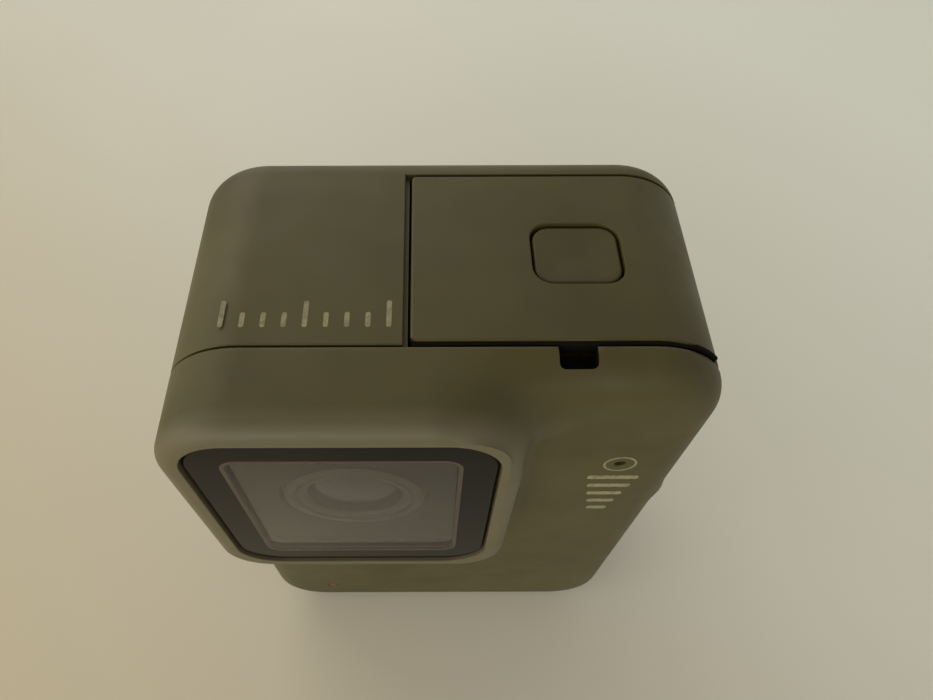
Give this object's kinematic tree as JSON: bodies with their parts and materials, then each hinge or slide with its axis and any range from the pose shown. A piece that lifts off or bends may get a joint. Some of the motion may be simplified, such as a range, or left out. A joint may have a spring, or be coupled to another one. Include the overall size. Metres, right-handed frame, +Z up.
{
  "type": "action camera",
  "caption": "Compact rugged action camera with a square lens window, side door over its sockets, touch screen and two push buttons.",
  "frame": {"origin": "middle of the flat side that the camera rests on, the side with the mode button", "axes": "+Z up through the camera's width to the side with the door; -Y the way the lens looks; +Y towards the touch screen; -X the camera's top with the shutter button; +X its underside"},
  "size_m": [0.045, 0.0284, 0.0623],
  "materials": {
    "case_paint": "soft-touch painted polycarbonate, matte olive grey",
    "cover_glass": "hardened flat glass with a dark printed border",
    "touch_glass": "black-backed touch glass, gloss",
    "lens_glass": "coated optical glass",
    "filter_glass": "infrared filter glass",
    "black_plastic": "moulded black ABS, fine matte grain",
    "black_rubber": "moulded silicone rubber, matte",
    "steel": "stainless steel, satin",
    "circuit_board": "glass-epoxy board under green solder mask",
    "flex_circuit": "polyimide flexible circuit",
    "battery_wrap": "foil pouch in a grey wrap",
    "aluminium": "die-cast, bead blasted",
    "lcd": "display panel, polarised film",
    "light_pipe": "clear red light pipe"
  },
  "bodies": {
    "case": {"front_shell": "case_paint", "main_shell": "case_paint", "antenna": "flex_circuit", "battery": "battery_wrap", "board_screw_1": "steel", "board_screw_2": "steel", "card_socket": "steel", "case_screw_1": "steel", "case_screw_2": "steel", "case_screw_3": "steel", "case_screw_4": "steel", "chassis": "aluminium", "cover_glass": "cover_glass", "cover_seal": "black_rubber", "display_backlight": "lcd", "front_element": "lens_glass", "front_microphone": "steel", "heat_spreader": "aluminium", "image_sensor": "black_plastic", "ir_filter": "filter_glass", "lcd_panel": "lcd", "lens_barrel": "black_plastic", "lens_holder": "black_plastic", "lens_mask": "black_plastic", "lens_retaining_ring": "black_plastic", "lens_screw_1": "steel", "lens_screw_2": "steel", "main_board": "circuit_board", "middle_element": "lens_glass", "mode_seal": "black_rubber", "mode_switch": "steel", "port_board": "circuit_board", "processor": "black_plastic", "rear_element": "lens_glass", "sensor_board": "circuit_board", "sensor_flex": "flex_circuit", "shutter_seal": "black_rubber", "shutter_switch": "steel", "speaker": "black_plastic", "speaker_grille": "black_plastic", "status_light": "light_pipe", "touch_glass": "touch_glass", "usb_socket": "steel", "usb_tongue": "black_plastic"},
    "arm": {"hinge_arm": "steel", "hinge_pin": "steel"},
    "door": {"side_door": "case_paint", "door_liner": "black_plastic", "door_seal": "black_rubber", "door_gasket": "black_rubber", "latch_spring": "steel"},
    "latch": {"latch_button": "case_paint"},
    "shutter": {"shutter_button": "case_paint"},
    "mode": {"mode_button": "case_paint"},
    "card": {"memory_card": "black_plastic"}
  },
  "joints": [
    {"name": "door_slide", "type": "slide", "parent": "case", "child": "arm", "axis": [1, 0, 0], "range_m": [0, 0.0012]},
    {"name": "door_swing", "type": "hinge", "parent": "arm", "child": "door", "pos_m": [0.02135, 0.0025, 0.0548], "axis": [0, 1, 0], "range_deg": [0, 105]},
    {"name": "latch_press", "type": "slide", "parent": "door", "child": "latch", "axis": [0, 0, -1], "range_m": [0, 0.0005], "stiffness_N_per_m": 800},
    {"name": "shutter_press", "type": "slide", "parent": "case", "child": "shutter", "axis": [1, 0, 0], "range_m": [0, 0.0006], "stiffness_N_per_m": 1500},
    {"name": "mode_press", "type": "slide", "parent": "case", "child": "mode", "axis": [0, 0, 1], "range_m": [0, 0.0005], "stiffness_N_per_m": 1500},
    {"name": "card_push", "type": "slide", "parent": "case", "child": "card", "axis": [0, 0, -1], "range_m": [0, 0.0006], "stiffness_N_per_m": 800}
  ]
}
